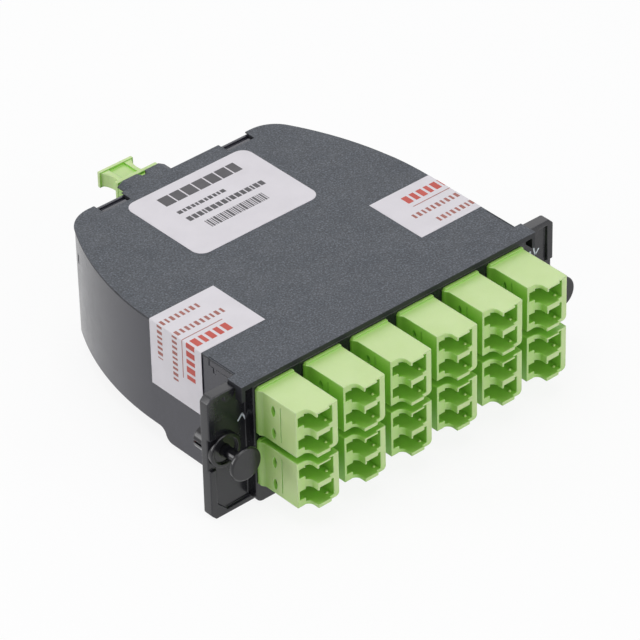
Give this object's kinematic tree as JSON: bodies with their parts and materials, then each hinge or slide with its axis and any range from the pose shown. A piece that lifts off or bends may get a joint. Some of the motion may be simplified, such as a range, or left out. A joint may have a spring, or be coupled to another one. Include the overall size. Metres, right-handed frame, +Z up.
{
  "type": "fibre cassette",
  "caption": "Slim fibre cassette: curved grey housing with a lid, black front panel with latch plungers and green duplex ports, rear multi-fibre port with dust cap.",
  "frame": {"origin": "midway between the two latch plungers, on the plane of the ears' back faces", "axes": "+X to the right seen from the front, +Y towards the back, +Z up"},
  "size_m": [0.108, 0.111, 0.0353],
  "materials": {
    "housing_grey": "smooth satin moulded plastic",
    "lid_grey": "fine sand texture",
    "panel_black": "semi-gloss moulded plastic",
    "adapter_green": "satin moulded plastic",
    "sleeve_ceramic": "polished ceramic",
    "plug_plastic": "moulded plastic",
    "fibre_jacket": "smooth jacket",
    "latch_black": "smooth moulded plastic",
    "label_paper": "coated paper"
  },
  "bodies": {
    "housing": {"tub": "housing_grey", "lid": "lid_grey", "faceplate": "panel_black", "adapter_top_1": "adapter_green", "sleeves_top_1": "sleeve_ceramic", "inner_plugs_top_1": "plug_plastic", "adapter_top_2": "adapter_green", "sleeves_top_2": "sleeve_ceramic", "inner_plugs_top_2": "plug_plastic", "adapter_top_3": "adapter_green", "sleeves_top_3": "sleeve_ceramic", "inner_plugs_top_3": "plug_plastic", "adapter_top_4": "adapter_green", "sleeves_top_4": "sleeve_ceramic", "inner_plugs_top_4": "plug_plastic", "adapter_top_5": "adapter_green", "sleeves_top_5": "sleeve_ceramic", "inner_plugs_top_5": "plug_plastic", "adapter_top_6": "adapter_green", "sleeves_top_6": "sleeve_ceramic", "inner_plugs_top_6": "plug_plastic", "adapter_bottom_1": "adapter_green", "sleeves_bottom_1": "sleeve_ceramic", "inner_plugs_bottom_1": "plug_plastic", "adapter_bottom_2": "adapter_green", "sleeves_bottom_2": "sleeve_ceramic", "inner_plugs_bottom_2": "plug_plastic", "adapter_bottom_3": "adapter_green", "sleeves_bottom_3": "sleeve_ceramic", "inner_plugs_bottom_3": "plug_plastic", "adapter_bottom_4": "adapter_green", "sleeves_bottom_4": "sleeve_ceramic", "inner_plugs_bottom_4": "plug_plastic", "adapter_bottom_5": "adapter_green", "sleeves_bottom_5": "sleeve_ceramic", "inner_plugs_bottom_5": "plug_plastic", "adapter_bottom_6": "adapter_green", "sleeves_bottom_6": "sleeve_ceramic", "inner_plugs_bottom_6": "plug_plastic", "sleeve_holders": "adapter_green", "fan_out_block": "plug_plastic", "fibre_leads": "fibre_jacket", "trunk_fibre": "fibre_jacket", "mpo_adapter": "adapter_green", "mpo_plug": "plug_plastic", "left_grommet": "latch_black", "right_grommet": "latch_black", "left_seal": "label_paper", "right_seal": "label_paper", "main_label": "label_paper"},
    "left_plunger": {"left_plunger": "latch_black"},
    "right_plunger": {"right_plunger": "latch_black"},
    "dust_cap": {"dust_cap": "adapter_green"}
  },
  "joints": [
    {"name": "left_plunger_push", "type": "slide", "parent": "housing", "child": "left_plunger", "axis": [0, 1, 0], "range_m": [0, 0.005]},
    {"name": "right_plunger_push", "type": "slide", "parent": "housing", "child": "right_plunger", "axis": [0, 1, 0], "range_m": [0, 0.005]},
    {"name": "dust_cap_pull", "type": "slide", "parent": "housing", "child": "dust_cap", "axis": [0, 1, 0], "range_m": [0, 0.015]}
  ]
}
